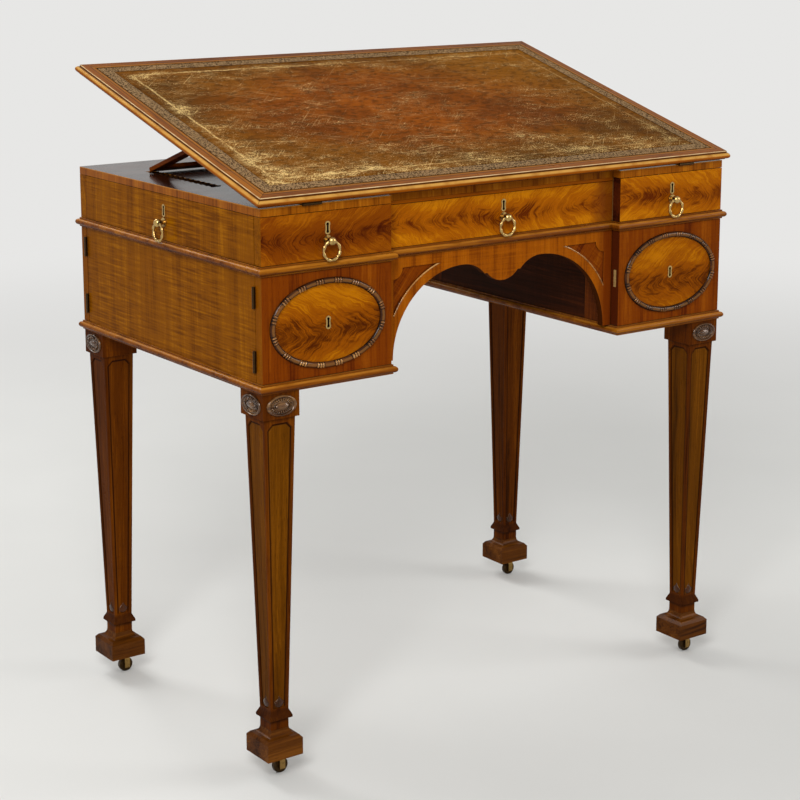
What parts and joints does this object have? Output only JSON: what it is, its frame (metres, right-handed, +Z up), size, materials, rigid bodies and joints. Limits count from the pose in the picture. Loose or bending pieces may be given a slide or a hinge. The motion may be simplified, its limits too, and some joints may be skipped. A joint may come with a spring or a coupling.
{
  "type": "artist table",
  "caption": "Mahogany kneehole artist table on tapered legs with castors: leather drawing slab that tilts on a ratchet prop, frieze drawers and pedestal cupboards.",
  "frame": {"origin": "on the floor, under the middle of the whole table", "axes": "+Z up, -Y to the front (centre drawer and kneehole arch), +X to the right of a person at the front"},
  "size_m": [0.8828, 0.5454, 0.9737],
  "materials": {
    "mahogany": "polished flame mahogany veneer",
    "carved_wood": "polished solid mahogany",
    "lining_wood": "plain oak lining",
    "leather": "worn tooled hide",
    "brass": "polished"
  },
  "bodies": {
    "case": {"leg_front_left": "mahogany", "leg_front_right": "mahogany", "leg_rear_left": "mahogany", "leg_rear_right": "mahogany", "plinth_feet": "mahogany", "leg_paterae": "carved_wood", "castor_plates": "brass", "outer_sides": "mahogany", "inner_sides": "mahogany", "inner_boards": "lining_wood", "base_mouldings": "mahogany", "waist_board": "mahogany", "waist_moulding": "mahogany", "case_top": "mahogany", "kneehole_arches": "mahogany", "rear_frieze": "mahogany", "centre_rail": "mahogany", "ratchet_strips": "carved_wood", "case_hinge_leaves": "brass"},
    "slab": {"slab_frame": "mahogany", "slab_panel": "lining_wood", "leather_top": "leather", "slab_fittings": "brass"},
    "prop": {"prop_frame": "carved_wood"},
    "drawer_centre": {"drawer_centre_front": "mahogany", "drawer_centre_box": "lining_wood", "drawer_centre_fittings": "brass"},
    "drawer_centre_handle": {"drawer_centre_ring": "brass"},
    "drawer_front_left": {"drawer_front_left_front": "mahogany", "drawer_front_left_box": "lining_wood", "drawer_front_left_fittings": "brass"},
    "drawer_front_left_handle": {"drawer_front_left_ring": "brass"},
    "drawer_front_right": {"drawer_front_right_front": "mahogany", "drawer_front_right_box": "lining_wood", "drawer_front_right_fittings": "brass"},
    "drawer_front_right_handle": {"drawer_front_right_ring": "brass"},
    "drawer_side_left": {"drawer_side_left_front": "mahogany", "drawer_side_left_box": "lining_wood", "drawer_side_left_fittings": "brass"},
    "drawer_side_left_handle": {"drawer_side_left_ring": "brass"},
    "drawer_side_right": {"drawer_side_right_front": "mahogany", "drawer_side_right_box": "lining_wood", "drawer_side_right_fittings": "brass"},
    "drawer_side_right_handle": {"drawer_side_right_ring": "brass"},
    "door_front_left": {"door_front_left": "mahogany", "door_front_left_fittings": "brass"},
    "door_front_right": {"door_front_right": "mahogany", "door_front_right_fittings": "brass"},
    "door_rear_left": {"door_rear_left": "mahogany", "door_rear_left_fittings": "brass"},
    "door_rear_right": {"door_rear_right": "mahogany", "door_rear_right_fittings": "brass"},
    "castor_front_left": {"castor_fork_front_left": "brass"},
    "wheel_front_left": {"castor_wheel_front_left": "brass"},
    "castor_front_right": {"castor_fork_front_right": "brass"},
    "wheel_front_right": {"castor_wheel_front_right": "brass"},
    "castor_rear_left": {"castor_fork_rear_left": "brass"},
    "wheel_rear_left": {"castor_wheel_rear_left": "brass"},
    "castor_rear_right": {"castor_fork_rear_right": "brass"},
    "wheel_rear_right": {"castor_wheel_rear_right": "brass"}
  },
  "joints": [
    {"name": "slab_tilt", "type": "hinge", "parent": "case", "child": "slab", "pos_m": [0, -0.2588, 0.8176], "axis": [1, 0, 0], "range_deg": [-15.6, 24]},
    {"name": "prop_swing", "type": "hinge", "parent": "slab", "child": "prop", "pos_m": [0, -0.0376, 0.88434], "axis": [1, 0, 0], "range_deg": [-54.09, 35.16]},
    {"name": "drawer_centre_pull", "type": "slide", "parent": "case", "child": "drawer_centre", "axis": [0, -1, 0], "range_m": [0, 0.36]},
    {"name": "drawer_centre_ring_swing", "type": "hinge", "parent": "drawer_centre", "child": "drawer_centre_handle", "pos_m": [0, -0.2493, 0.765], "axis": [-1, 0, 0], "range_deg": [0, 110]},
    {"name": "drawer_front_left_pull", "type": "slide", "parent": "case", "child": "drawer_front_left", "axis": [0, -1, 0], "range_m": [0, 0.1]},
    {"name": "drawer_front_left_ring_swing", "type": "hinge", "parent": "drawer_front_left", "child": "drawer_front_left_handle", "pos_m": [-0.31875, -0.2663, 0.765], "axis": [-1, 0, 0], "range_deg": [0, 110]},
    {"name": "drawer_front_right_pull", "type": "slide", "parent": "case", "child": "drawer_front_right", "axis": [0, -1, 0], "range_m": [0, 0.1]},
    {"name": "drawer_front_right_ring_swing", "type": "hinge", "parent": "drawer_front_right", "child": "drawer_front_right_handle", "pos_m": [0.31875, -0.2663, 0.765], "axis": [-1, 0, 0], "range_deg": [0, 110]},
    {"name": "drawer_side_left_pull", "type": "slide", "parent": "case", "child": "drawer_side_left", "axis": [-1, 0, 0], "range_m": [0, 0.15]},
    {"name": "drawer_side_left_ring_swing", "type": "hinge", "parent": "drawer_side_left", "child": "drawer_side_left_handle", "pos_m": [-0.435, 0.0047, 0.765], "axis": [0, 1, 0], "range_deg": [0, 110]},
    {"name": "drawer_side_right_pull", "type": "slide", "parent": "case", "child": "drawer_side_right", "axis": [1, 0, 0], "range_m": [0, 0.15]},
    {"name": "drawer_side_right_ring_swing", "type": "hinge", "parent": "drawer_side_right", "child": "drawer_side_right_handle", "pos_m": [0.435, 0.0047, 0.765], "axis": [0, -1, 0], "range_deg": [0, 110]},
    {"name": "door_front_left_swing", "type": "hinge", "parent": "case", "child": "door_front_left", "pos_m": [-0.4275, -0.2399, 0.651], "axis": [0, 0, -1], "range_deg": [0, 165]},
    {"name": "door_front_right_swing", "type": "hinge", "parent": "case", "child": "door_front_right", "pos_m": [0.4275, -0.2399, 0.651], "axis": [0, 0, 1], "range_deg": [0, 165]},
    {"name": "door_rear_left_swing", "type": "hinge", "parent": "case", "child": "door_rear_left", "pos_m": [-0.4275, 0.2493, 0.651], "axis": [0, 0, 1], "range_deg": [0, 165]},
    {"name": "door_rear_right_swing", "type": "hinge", "parent": "case", "child": "door_rear_right", "pos_m": [0.4275, 0.2493, 0.651], "axis": [0, 0, -1], "range_deg": [0, 165]},
    {"name": "castor_front_left_swivel", "type": "hinge", "parent": "case", "child": "castor_front_left", "pos_m": [-0.39575, -0.22705, 0.0325], "axis": [0, 0, 1], "continuous": true},
    {"name": "wheel_front_left_roll", "type": "hinge", "parent": "castor_front_left", "child": "wheel_front_left", "pos_m": [-0.38775, -0.22705, 0.0115], "axis": [0, 1, 0], "continuous": true},
    {"name": "castor_front_right_swivel", "type": "hinge", "parent": "case", "child": "castor_front_right", "pos_m": [0.39575, -0.22705, 0.0325], "axis": [0, 0, 1], "continuous": true},
    {"name": "wheel_front_right_roll", "type": "hinge", "parent": "castor_front_right", "child": "wheel_front_right", "pos_m": [0.40375, -0.22705, 0.0115], "axis": [0, 1, 0], "continuous": true},
    {"name": "castor_rear_left_swivel", "type": "hinge", "parent": "case", "child": "castor_rear_left", "pos_m": [-0.39575, 0.23645, 0.0325], "axis": [0, 0, 1], "continuous": true},
    {"name": "wheel_rear_left_roll", "type": "hinge", "parent": "castor_rear_left", "child": "wheel_rear_left", "pos_m": [-0.38775, 0.23645, 0.0115], "axis": [0, 1, 0], "continuous": true},
    {"name": "castor_rear_right_swivel", "type": "hinge", "parent": "case", "child": "castor_rear_right", "pos_m": [0.39575, 0.23645, 0.0325], "axis": [0, 0, 1], "continuous": true},
    {"name": "wheel_rear_right_roll", "type": "hinge", "parent": "castor_rear_right", "child": "wheel_rear_right", "pos_m": [0.40375, 0.23645, 0.0115], "axis": [0, 1, 0], "continuous": true}
  ],
  "couplings": [
    {"joint": "prop_swing", "follows": "slab_tilt", "ratio": -2.2536}
  ]
}
